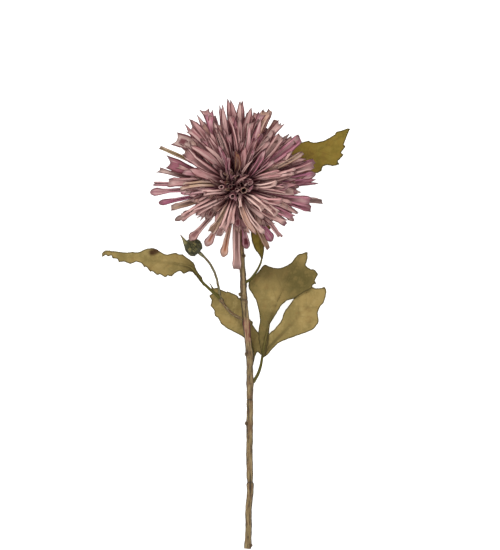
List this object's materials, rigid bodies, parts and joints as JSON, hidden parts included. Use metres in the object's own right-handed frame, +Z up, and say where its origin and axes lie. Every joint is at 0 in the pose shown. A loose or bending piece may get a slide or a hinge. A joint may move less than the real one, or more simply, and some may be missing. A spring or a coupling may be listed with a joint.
{
  "type": "chrysanthemum stem",
  "caption": "Cut chrysanthemum stem lying face up: a round bloom of long quilled and spooned petals, a side bud, and khaki lobed leaves.",
  "frame": {"origin": "on the table, under the middle of the part's footprint", "axes": "+Y runs along the stem from its cut end to the bloom, +Z is up from the table, out of the bloom's face, and +X is to the right seen from above with the bloom at the far end"},
  "size_m": [0.1866, 0.3386, 0.066],
  "materials": {
    "stem": "dry brownish olive, ridged and matte",
    "branch": "dry grey olive, matte",
    "bud": "dull dark green scales with reddish brown tips",
    "calyx": "dull olive green bracts",
    "ray_floret": "matte dusty mauve petals with tan and rose tints",
    "heart": "matte dark wine with pale tube rims",
    "leaf": "matte khaki, blotched, with darker edges",
    "leaf_green": "matte yellow olive, blotched"
  },
  "bodies": {
    "root": {"stem": "stem", "side_branch": "branch", "bud": "bud", "calyx": "calyx", "ray_florets": "ray_floret", "heart_florets": "heart", "leaf_left": "leaf", "leaf_behind_stem": "leaf", "leaf_right": "leaf", "leaf_under_bloom": "leaf_green", "leaf_upper_right": "leaf_green"}
  },
  "joints": []
}
